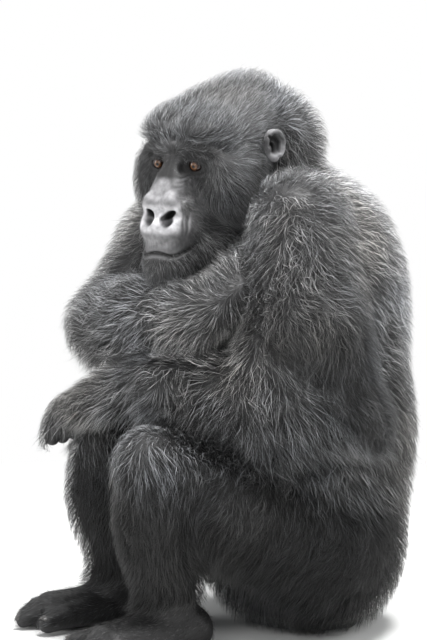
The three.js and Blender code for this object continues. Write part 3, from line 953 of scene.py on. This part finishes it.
def skin_material():
    """Dark grey leathery skin, painted paler on the nose as a painted sheen, with pores and fine
    wrinkles.
    """
    made, add, put = material("skin", Roughness=0.55, Specular_IOR_Level=0.35)
    blotches = spread(add, noise(add, 90, 6), 0.3, 0.7, 0.62, 1.35)
    tone = maths(add, "MULTIPLY", attribute(add, "tone"), blotches)
    place = add("ShaderNodeTexCoord")["Object"]
    pores = add("ShaderNodeTexVoronoi", Vector=place, Scale=620.0)["Distance"]
    grain = maths(add, "ADD", pores, noise(add, 260, 6))
    put(Base_Color=scaled(add, (0.98, 0.97, 1.0), tone), Normal=bump(add, grain, 0.0005, 0.35))
    return made


# From the axis of the eye outwards, to this many degrees: the pupil, the iris, its rim, the white.
MOST_OFF_AXIS = 60.0
EYE_COLOURS = (
    (0.15, (0.003, 0.002, 0.002)), (0.21, (0.14, 0.064, 0.027)), (0.42, (0.08, 0.032, 0.013)),
    (0.5, (0.008, 0.004, 0.003)), (0.58, (0.022, 0.01, 0.007)), (1.0, (0.012, 0.006, 0.005)),
)


def eye_material():
    """A dark pupil in an amber-brown iris with fine spokes, a black rim and a dark brown white."""
    made, add, put = material("eye", Roughness=0.05)
    fan = attribute(add, "spokes", "Vector")
    spokes = add("ShaderNodeTexNoise", Vector=fan, Scale=6.0, Detail=4.0)["Fac"]
    ragged = spread(add, spokes, 0.3, 0.7, -2.0, 2.0)
    reach = maths(add, "ADD", attribute(add, "off_axis"), ragged)
    ramp = add("ShaderNodeValToRGB", Fac=spread(add, reach, 0.0, MOST_OFF_AXIS, 0.0, 1.0))
    colours = ramp["Color"].node.color_ramp.elements
    for number, (place, colour) in enumerate(EYE_COLOURS):
        element = colours[number] if number < len(colours) else colours.new(place)
        element.position = place
        element.color = (*colour, 1)
    put(Base_Color=ramp["Color"])
    return made


def nail_material():
    """Dark horn with paler and darker ridges."""
    made, add, put = material("nail", Roughness=0.3)
    ridges = noise(add, 400)
    colour = scaled(add, (0.05, 0.047, 0.045), spread(add, ridges, 0.3, 0.7, 0.7, 1.4))
    put(Base_Color=colour, Normal=bump(add, ridges, 0.0006, 0.4))
    return made


# ---- The coat ----

# For each node: how many locks stand on a square centimetre, how wide they are (mm), and how much
# lighter and darker than each other they are.
LOCKS = {
    "head": (12.3, 0.48, 0.6), "jaw": (12.3, 0.48, 0.6), "ear": (8, 0.4, 0.6), "neck": (10, 0.7, 1),
    "chest": (6.8, 0.8, 1), "belly": (4.7, 1.1, 1), "pelvis": (4.5, 1.1, 1),
    "upper_arm": (9, 0.7, 1), "forearm": (9.5, 0.75, 1.2), "hand": (11, 0.8, 1.1),
    "thigh": (6.5, 1.0, 1), "shin": (8, 0.9, 1), "foot": (4.6, 0.7, 1),
}
# There are this many times as many on the face as on the rest of the head.
MORE_ON_FACE = 1.7
# A piece of the coat has fewer locks than this.
MOST_LOCKS = 11000

# A lock is a three-sided spike of two lengths: two rings of three corners each, and a tip. Its
# rings are less thick than they are wide.
LENGTHS = 2
LOCK_TAPER = (1.0, 0.75)
LOCK_TURNS = (90, 210, 330)
LOCK_THICKNESS = 0.6
LOCK_FACES = ((0, 2, 1), (0, 1, 4, 3), (1, 2, 5, 4), (2, 0, 3, 5), (3, 4, 6), (4, 5, 6), (5, 3, 6))
LOCK_LEVELS = np.array((0, 0, 0, 1, 1, 1, 2))
# How light a lock is from its root to its tip: darker at the root as painted shade deep in the coat,
# paler at the tip.
LOCK_PAINTED_SHADE = np.array((0.35, 0.95, 1.4))
# The size of a lock's patch on the map that the looks are baked to.
OFBAKE_PATCH = 0.0015

# The coat fills the solids of the hands and feet up to this depth.
MOST_ROOM = 34 * MM
# A lock is between these many times as long as the coat is deep.
LEAST_LENGTH, MOST_LENGTH = 1.6, 3.2
# The tips thin out so much that the coat looks full only when they stand a little above its depth.
LOFT = 1.18
# This share of the locks stands out of the coat, to these many times its depth.
STRAYS = 0.06
STRAY_HEIGHTS = (1.1, 1.45)
# Locks that hang off the underside reach down by this share of their length.
HANG = 0.85
# The shares of their length, width and height that the locks have, and how light the clumps are.
LENGTHS_VARY, WIDTHS_VARY, HEIGHTS_VARY = (0.65, 1.15), (0.55, 1.3), (0.1, 1.0)
CLUMPS_VARY = (0.65, 1.45)
# A lock starts this far under the skin, changes its height by so much at most along one length, and
# stays this far over the floor.
ROOT_DEPTH = 1 * MM
MOST_RISE = 20 * MM
OVER_FLOOR = 1.5 * MM
# Where the coat is much shallower than this, the locks are thinner.
FULL_WIDTH_DEPTH = 9 * MM
# How far a lock turns aside: in slow waves this wide, and by chance (radians).
WAVE_WIDTH = 26 * MM
WAVE_TURN, CHANCE_TURN = 0.8, 0.35
# A clump is this share of a lock's length wide, and its tips are drawn together by this share.
CLUMP = 0.3
PULL = 0.5
# This share of the locks is pale, partly as grey hairs and partly as painted sheen of hairs that catch
# the light; how light those are, and the others.
PALE_LOCKS = 0.3
PALE, DARK = (1.5, 4.2), (0.1, 0.7)
# The slope of the skin under a lock is taken over this distance.
SLOPE_REACH = 2 * MM
PER_SQUARE_CENTIMETRE = 1e4


def locks_of(node):
    return LOCKS[node.replace("_left", "").replace("_right", "")]


def scattered(mesh, density):
    """Random places on a mesh, so many to the square metre."""
    a, b, c = (places_of(mesh)[corner] for corner in triangles_of(mesh).T)
    areas = np.linalg.norm(np.cross(b - a, c - a), axis=1) / 2
    wanted = np.cumsum(areas * density((a + b + c) / 3))
    count = int(wanted[-1])
    chosen = np.searchsorted(wanted, np.arange(count) + rng.random(count))
    chosen = np.minimum(chosen, len(areas) - 1)
    u, v = rng.random((2, len(chosen), 1))
    flip = u + v > 1
    u, v = np.where(flip, 1 - u, u), np.where(flip, 1 - v, v)
    return a[chosen] + u * (b[chosen] - a[chosen]) + v * (c[chosen] - a[chosen])


def waves(points, length):
    """A slow random swell over the body, seldom past -1 and 1."""
    ways = np.random.default_rng(3).normal(size=(4, 3)) / length
    return np.sin(points @ ways.T + np.arange(4)).sum(axis=1) / 2.4


class Growth:
    """The paths of the locks that grow from some roots."""

    def __init__(self, roots, width, contrast, coat, skin):
        count = len(roots)
        normals = slope(skin.near, roots, SLOPE_REACH)
        depth = coat.depth(roots)
        curl = coat.curl(roots)
        room = np.clip(-skin.outer(roots), 0, MOST_ROOM)
        depth = mix(depth, np.maximum(depth, room), coat.limb_end(roots))
        length = np.maximum(LEAST_LENGTH * depth, coat.length(roots))
        length = length * rng.uniform(*LENGTHS_VARY, count)
        length = np.minimum(length, MOST_LENGTH * depth + 2 * MM)
        height = LOFT * depth * rng.uniform(*HEIGHTS_VARY, count) ** 0.35
        stray = rng.random(count) < STRAYS
        height[stray] = depth[stray] * rng.uniform(*STRAY_HEIGHTS, stray.sum())
        hang = HANG * length * np.maximum(0, -normals[:, 2]) ** 1.2
        swing = WAVE_TURN * waves(roots, WAVE_WIDTH) + rng.normal(0, CHANCE_TURN, count)
        swing = curl * swing
        self.rings = [roots - normals * ROOT_DEPTH]
        self.sides = []
        self.ups = []
        place = roots
        for k in range(1, LENGTHS + 1):
            share = k / LENGTHS
            up = slope(skin.near, place, SLOPE_REACH) if k > 1 else normals
            flow = coat.lie(place)
            flow = unit(flow - np.sum(flow * up, axis=1, keepdims=True) * up)
            side = np.cross(flow, up)
            swing = swing + curl * rng.normal(0, CHANCE_TURN, count)
            angle = swing[:, None]
            flow = flow * np.cos(angle) + side * np.sin(angle)
            place = place + flow * (length / LENGTHS)[:, None]
            rise = height * share ** 0.55 + hang * share ** 1.5 - skin.near(place)
            place = place + up * np.clip(rise, -MOST_RISE, MOST_RISE)[:, None]
            self.rings.append(place)
            self.sides.append(unit(np.cross(flow, up)))
            self.ups.append(up)
        light = self.gather(roots, np.mean(length) * CLUMP)
        for ring in self.rings[1:]:
            ring[:, 2] = np.maximum(ring[:, 2], OVER_FLOOR)
        thick = np.minimum(1, 0.45 + depth / FULL_WIDTH_DEPTH)
        self.width = width * MM * rng.uniform(*WIDTHS_VARY, count) * thick
        # Pale locks are partly grey hairs and partly painted sheen.
        pale = rng.random(count) < PALE_LOCKS
        bright = np.where(pale, rng.uniform(*PALE, count), rng.uniform(*DARK, count))
        self.tone = coat.tone(roots) * (bright * light) ** contrast

    def gather(self, roots, size):
        """Draws the tips of the locks of one clump together, and says how light each clump is."""
        cells = np.floor((roots + rng.normal(0, 0.2 * size, roots.shape)) / size).astype(int)
        _, clump = np.unique(cells, axis=0, return_inverse=True)
        clump = clump.ravel()
        members = np.bincount(clump)
        for k, ring in enumerate(self.rings[1:], 1):
            middle = np.stack([np.bincount(clump, axis) / members for axis in ring.T], axis=1)
            ring += (middle[clump] - ring) * PULL * (k / LENGTHS) ** 1.5
        return rng.uniform(*CLUMPS_VARY, len(members))[clump]

    def mesh(self, name, unwrap):
        """The locks as solid meshes of one piece, with their tones and bake patches."""
        count = len(self.width)
        corners = []
        for ring, side, up, taper in zip(self.rings, self.sides, self.ups, LOCK_TAPER):
            for turn in np.radians(LOCK_TURNS):
                offset = math.cos(turn) * side + LOCK_THICKNESS * math.sin(turn) * up
                corners.append(ring + offset * (self.width * taper / 2)[:, None])
        corners.append(self.rings[-1])
        starts = np.cumsum([0] + [len(face) for face in LOCK_FACES])
        number = np.arange(count)[:, None]
        loops = np.concatenate(LOCK_FACES)[None, :] + len(corners) * number
        mesh = bpy.data.meshes.new(name)
        mesh.vertices.add(count * len(corners))
        store(mesh.vertices, "co", np.stack(corners, axis=1))
        mesh.loops.add(loops.size)
        store(mesh.loops, "vertex_index", loops, np.int32)
        mesh.polygons.add(count * len(LOCK_FACES))
        store(mesh.polygons, "loop_start", starts[None, :-1] + starts[-1] * number, np.int32)
        smooth(mesh)
        mesh.update(calc_edges=True)
        tag(mesh, "tone", (self.tone[:, None] * LOCK_PAINTED_SHADE[LOCK_LEVELS][None, :]).ravel())

        patch = OFBAKE_PATCH * (1 - 0.7 * LOCK_LEVELS / LENGTHS)
        turns = np.radians(90 + 120 * np.arange(len(corners)))
        spots = np.stack((np.cos(turns), np.sin(turns)), axis=1) * patch[:, None]
        places = unwrap(self.rings[0])[:, None, :] + spots[None, :, :]
        layer = mesh.uv_layers.new(name="OFBake")
        store(layer.uv, "vector", places.reshape(-1, 2)[loops.ravel()])
        return placed(name, mesh)


def round_the_bone(points):
    """Unwraps the skin of one part: round its longest axis, and along it."""
    middle = points.mean(axis=0)
    _, _, axes = np.linalg.svd(points[::7] - middle, full_matrices=False)
    reach = (points - middle) @ axes[0]
    low, high = reach.min(), reach.max()

    def unwrap(places):
        along, one, two = ((places - middle) @ axes.T).T
        around = np.arctan2(two, one) / math.tau + 0.5
        return 0.01 + 0.98 * np.column_stack((around, (along - low) / (high - low)))

    return unwrap


def grow_coat(body, coat, skin, look):
    """The coat of each node as a piece of its own, thinning out towards the bare skin."""
    density = np.array([locks_of(node)[0] * PER_SQUARE_CENTIMETRE for node in FLESH])

    def locks_per_area(points):
        nodes = coat.node_at(points)
        on_head = np.isin(nodes, (FLESH.index("head"), FLESH.index("jaw")))
        face = on_head * step(30, 90, HEAD.inward(points)[:, 1])
        return density[nodes] * (1 - bare(points)) ** 0.5 * mix(1, MORE_ON_FACE, face)

    roots = scattered(body.data, locks_per_area)
    owners = coat.node_at(roots)
    for number, node in enumerate(FLESH):
        mine = roots[owners == number]
        unwrap = round_the_bone(mine)
        parts = len(mine) // MOST_LOCKS + 1
        for part, some in enumerate(np.array_split(mine, parts), 1):
            name = f"coat_{node}_{part}" if parts > 1 else f"coat_{node}"
            piece = Growth(some, *locks_of(node)[1:], coat, skin).mesh(name, unwrap)
            piece.data.materials.append(look)
            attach(piece, "root")


# ---- Skin colours, eyes and nails ----

# Pale streaks run from the inner corners of the eyes down over the cheeks.
STREAKS = (
    ((13, 140, -14), (30, 128, -36)), ((13, 140, -14), (18, 150, -40)),
    ((24, 126, -22), (40, 122, -30)),
)
# The skin under the coat is this share as light as the coat: darker as painted shade between the hairs,
# and it follows the coat's painted light by height.
UNDER_COAT = 0.22


def skin_tone(points, coat):
    """Black under the coat, dark grey on the face and pale grey on the nose and upper lip, with painted
    shade between the hairs, under the brow, in the folds, nostrils, mouth and ear, and a painted sheen
    on the nose and upper lip.
    """
    q = HEAD.inward(points)
    m = mirrored(q)
    x, y, z = m.T
    naked = bare(points)
    front = step(70, 110, y)
    tone = mix(0.03, 0.06, step(0.55, 0.58, points[:, 2]))
    # Under the coat the skin is painted darker than the coat, as painted shade between the hairs.
    tone = mix(UNDER_COAT * coat.tone(points), tone, naked)
    # Bare skin at and above the eyes is painted near black: dark skin, darker still as painted shade
    # under the brow.
    tone = mix(tone, 0.014, step(-20, -10, z) * naked)
    # The bridge and pad of the nose are painted pale grey, palest low on the pad: grey skin with a
    # painted sheen of the light from above; the muzzle beside them is a darker grey.
    half = 6 + 31 * np.clip((-11 - z) / 40, 0, 1)
    muzzle = step(-10, -20, z) * step(-101, -82, z) * front
    tone = mix(tone, 0.1, step(20, 12, x - half) * muzzle)
    tone = mix(tone, mix(0.21, 0.57, step(-40, -64, z)), step(4, -4, x - half) * muzzle)
    # The folds beside the nose: painted shade in their furrows and painted light on their ridges.
    strength, folds = folds_beside_nose(m)
    tone *= mix(1, 0.45 + 1.1 * (1 - folds), strength)
    for start, end in STREAKS:
        tone = mix(tone, 0.2, step(2.4, 0, bar(m, start, end, 0.8, 1.6)) * 0.7)
    # The upper lip is painted pale grey in its middle, partly as the same painted sheen as the nose,
    # and darker towards its sides.
    lip = ellipsoid(q, (0, 190, -104), (40, 44, 18))
    tone = mix(tone, mix(0.2, 0.07, step(16, 38, x)), step(14, -10, lip) * front * step(-84, -96, z))
    basin = ellipsoid(m, (16.5, 180, -76), (9, 20, 9), tilt("Y", -30))
    tone = mix(tone, 0.12, step(7, -5, basin))
    # The nostrils are painted near black: painted shade in their hollows.
    nostril = ellipsoid(m, (17, 178, -66), (13.5, 30, 6.6), tilt("Y", -30))
    tone = mix(tone, 0.006, step(1.5, -2.5, nostril))
    across = z - mouth_height(q[:, 0] + 0.8)
    tone = mix(tone, 0.15, dent(across + 5, 1.8) * step(46, 34, x) * front * 0.8)
    # The line of the mouth is painted near black, as painted shade in its groove.
    tone = mix(tone, 0.005, dent(across, 2.8) * step(56, 47, x) * front)
    # The eye sockets are painted darker as painted shade under the brow, less so below the eyes.
    socket = ellipsoid(m, EYE + (-1, 6, -1), (24, 22, 15))
    shade = mix(0.018, 0.04, step(-10, -16, z - EYE[2]))
    tone = mix(tone, shade, step(6, -6, socket) * step(12, 18, x) * 0.9)
    # The ear is paler towards its lobe, and its hollow is painted near black as painted shade.
    ear = step(8, 0, ellipsoid(m, EAR, (14, 22, 28))) * step(92, 97, x)
    hollow = step(5, -5, ellipsoid(m, (107, 4, 3), (13, 12, 18)))
    return mix(tone, mix(mix(0.13, 0.36, step(8, -12, z)), 0.02, hollow), ear)


def dress_skin(body, coat, look):
    tag(body.data, "tone", skin_tone(places_of(body.data), coat))
    body.data.materials.append(look)
    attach(body, "root")
    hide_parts(*FLESH)


# The gaze turns a little to the animal's left of straight ahead.
GAZE = (-0.2, 1.0, 0.02)
# The cornea stands this far out of the ball (mm) and reaches this far from its axis (radians).
CORNEA, CORNEA_REACH = 1.1, 0.62


def make_eye(node, look):
    """An eyeball with a bulging cornea, turned to the gaze."""
    gaze = unit(HEAD.turned(GAZE))
    side = unit(np.cross(gaze, (0, 0, 1)))
    up = np.cross(side, gaze)
    rings, spokes = 40, 48
    off = np.linspace(0, math.pi, rings + 1)[1:-1]
    around = np.arange(spokes) * math.tau / spokes
    off, around = (grid.ravel() for grid in np.meshgrid(off, around, indexing="ij"))
    radius = EYE_RADIUS + CORNEA * np.clip(1 - (off / CORNEA_REACH) ** 2, 0, 1)
    out = np.cos(around)[:, None] * side + np.sin(around)[:, None] * up
    ball = (np.sin(off)[:, None] * out + np.cos(off)[:, None] * gaze) * radius[:, None]
    points = np.concatenate((ball, [gaze * (EYE_RADIUS + CORNEA)], [-gaze * EYE_RADIUS]))
    faces = []
    last = (rings - 2) * spokes
    for j in range(spokes):
        after = (j + 1) % spokes
        faces.append((len(points) - 2, j, after))
        faces.append((len(points) - 1, last + after, last + j))
        for row in range(0, last, spokes):
            faces.append((row + j, row + spokes + j, row + spokes + after, row + after))
    made = mesh_object(f"{node}_ball", spot(node, .5, .5, .5) + points * MM, faces)
    angles = np.append(np.degrees(off), (0, 180))
    turns = np.append(around, (0, 0))
    tag(made.data, "off_axis", angles)
    tag(made.data, "spokes", np.column_stack((np.cos(turns), np.sin(turns), angles / 90)))
    made.data.materials.append(look)
    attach(made, "root")
    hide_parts(node)


# The grid of points across and along a nail, how far it curves round the finger (radians), and how
# thick it is (mm).
NAIL_GRID = (9, 7)
NAIL_CURVE = 1.15
NAIL_THICKNESS = 1.1
# The widths of the four nails and of the thumb's or great toe's, and their length (mm).
NAILS = {"hand": (15, 15, 15), "foot": (14, 20, 14)}


def make_nail(name, tip, forward, up, width, length, look):
    """A curved plate on the upper side of a finger's end."""
    side = unit(np.cross(forward, up))
    up = np.cross(side, forward)
    across, along = NAIL_GRID
    u, v = np.meshgrid(np.linspace(-1, 1, across), np.linspace(0, 1, along), indexing="ij")
    arch = np.cos(u * NAIL_CURVE)
    reach = (v - 0.35) * length + 0.12 * length * (1 - u * u)
    drop = 0.18 * length * v * v
    aside = np.sin(u * NAIL_CURVE) * width / 2
    rise = (arch - 1) * width * 0.42 + 0.9 - drop
    top = side * aside[..., None] + forward * reach[..., None] + up * rise[..., None]
    low = top - up * NAIL_THICKNESS
    points = np.concatenate((top.reshape(-1, 3), low.reshape(-1, 3)))
    index = np.arange(across * along).reshape(across, along)
    under = index + index.size
    faces = []
    for i in range(across - 1):
        for j in range(along - 1):
            faces.append((index[i, j], index[i + 1, j], index[i + 1, j + 1], index[i, j + 1]))
            faces.append((under[i, j], under[i, j + 1], under[i + 1, j + 1], under[i + 1, j]))
    edge = [*index[:, 0], *index[-1, 1:], *index[-2::-1, -1], *index[0, -2:0:-1]]
    for one, two in zip(edge, edge[1:] + edge[:1]):
        faces.append((one, one + index.size, two + index.size, two))
    made = mesh_object(name, (tip + points) * MM, [tuple(int(i) for i in face) for face in faces])
    made.data.materials.append(look)
    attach(made, "root")


def make_nails(look):
    for side in SIDES:
        for end, bones, back in (("hand", HAND_BONES, -palm_way(side)), ("foot", FOOT_BONES, -DOWN)):
            for number, (chain, radii) in enumerate(bones[side][-1]):
                forward = unit(chain[-1] - chain[-2])
                up = unit(back - (back @ forward) * forward)
                tip = chain[-1] + up * (radii[-1] - 1) + forward * 2
                width = NAILS[end][0 if number < 4 else 1]
                make_nail(f"nail_{end}_{side}_{number}", tip, forward, up, width, NAILS[end][2], look)


# ---- Floor, light and camera ----

# The camera looks at this place from this azimuth and elevation (degrees) and distance.
LOOK_AT = Vector((-0.0215, -0.0113, 0.505))
AZIMUTH, ELEVATION, DISTANCE = 66, 8, 6.0
LENS = 210.9


def white_for_camera(tree, add, plain, white, output):
    """Shows the second shader to the camera, mirrors and glass, and the first to everything else."""
    path = add("ShaderNodeLightPath")
    seen = path["Is Camera Ray"]
    for ray in ("Is Glossy Ray", "Is Transmission Ray"):
        seen = maths(add, "MAXIMUM", seen, path[ray])
    tree.links.new(add("ShaderNodeMixShader", i0=seen, i1=plain, i2=white)[0], output)


def make_world():
    """A weak sky that lights the animal from all round, and looks white to the camera."""
    world = bpy.data.worlds.new("studio")
    world.use_nodes = True
    bpy.context.scene.world = world
    tree = world.node_tree
    add = adder(tree)
    sky = tree.nodes["Background"]
    fill(tree, sky, dict(Color=(0.93, 0.97, 1.0, 1), Strength=0.22))
    white = add("ShaderNodeBackground", Color=(1, 1, 1, 1))[0]
    white_for_camera(tree, add, sky.outputs[0], white, tree.nodes["World Output"].inputs["Surface"])


# The floor reaches this far, and turns white for the camera between these distances.
FLOOR_SIZE = 30
FADE_FROM, FADE_TO = 0.45, 1.6


def make_floor():
    """A pale floor that keeps the shadow near the animal and fades into the backdrop."""
    corners = [(x * FLOOR_SIZE, y * FLOOR_SIZE, 0) for x, y in ((-1, -1), (1, -1), (1, 1), (-1, 1))]
    floor = mesh_object("floor", corners, [(0, 1, 2, 3)])
    look, add, _ = material(
        "floor", Base_Color=(0.82, 0.82, 0.81, 1), Roughness=0.9, Specular_IOR_Level=0.1,
    )
    tree = look.node_tree
    plain = tree.nodes["Principled BSDF"].outputs[0]
    place = add("ShaderNodeTexCoord")["Object"]
    away = add("ShaderNodeVectorMath", [("operation", "LENGTH")], i0=place)["Value"]
    ranges = dict(From_Min=FADE_FROM, From_Max=FADE_TO)
    fade = add("ShaderNodeMapRange", [("interpolation_type", "SMOOTHSTEP")], Value=away, **ranges)
    white = add("ShaderNodeEmission", Color=(1, 1, 1, 1))[0]
    faded = add("ShaderNodeMixShader", i0=fade["Result"], i1=plain, i2=white)[0]
    white_for_camera(tree, add, plain, faded, tree.nodes["Material Output"].inputs["Surface"])
    floor.data.materials.append(look)


def aim(made, place, way):
    """Puts a lamp or camera at a place, looking one way."""
    made.location = place
    made.rotation_mode = "QUATERNION"
    made.rotation_quaternion = Vector(way).to_track_quat("-Z", "Y")


# A wide soft light overhead, as from a bright cloudy sky, and weaker ones in front, behind and at
# the animal's right. Each has its place, the height over the origin that it aims at, its width and
# its power.
LAMPS = {
    "sky": ((0.3, 0.2, 3.2), 0.6, 1.8, 260),
    "front": ((3.2, -2.6, 1.9), 0.5, 2.0, 32),
    "rim": ((1.0, 3.4, 2.0), 0.6, 1.6, 75),
    "side": ((-1.6, -3.4, 1.5), 0.6, 2.0, 55),
}


def make_lights():
    for name, (place, height, size, power) in LAMPS.items():
        lamp = bpy.data.lights.new(name, "AREA")
        lamp.shape = "DISK"
        lamp.size = size
        lamp.energy = power
        aim(placed(name, lamp), place, Vector((0, 0, height)) - Vector(place))


def make_camera():
    camera = bpy.data.cameras.new("camera")
    camera.lens = LENS
    camera.clip_end = 100
    made = placed("camera", camera)
    turn, rise = math.radians(AZIMUTH), math.radians(ELEVATION)
    back = Vector((math.sin(turn) * math.cos(rise), -math.cos(turn) * math.cos(rise), math.sin(rise)))
    aim(made, LOOK_AT + back * DISTANCE, -back)
    bpy.context.scene.camera = made


def build():
    coat = Coat()
    skin = Skin(coat)
    body = make_skin(skin)
    dress_skin(body, coat, skin_material())
    look = eye_material()
    for node in EYES:
        make_eye(node, look)
    make_nails(nail_material())
    grow_coat(body, coat, skin, coat_material())
    make_world()
    make_floor()
    make_lights()
    make_camera()
    bpy.context.scene.view_settings.view_transform = "Standard"


build()
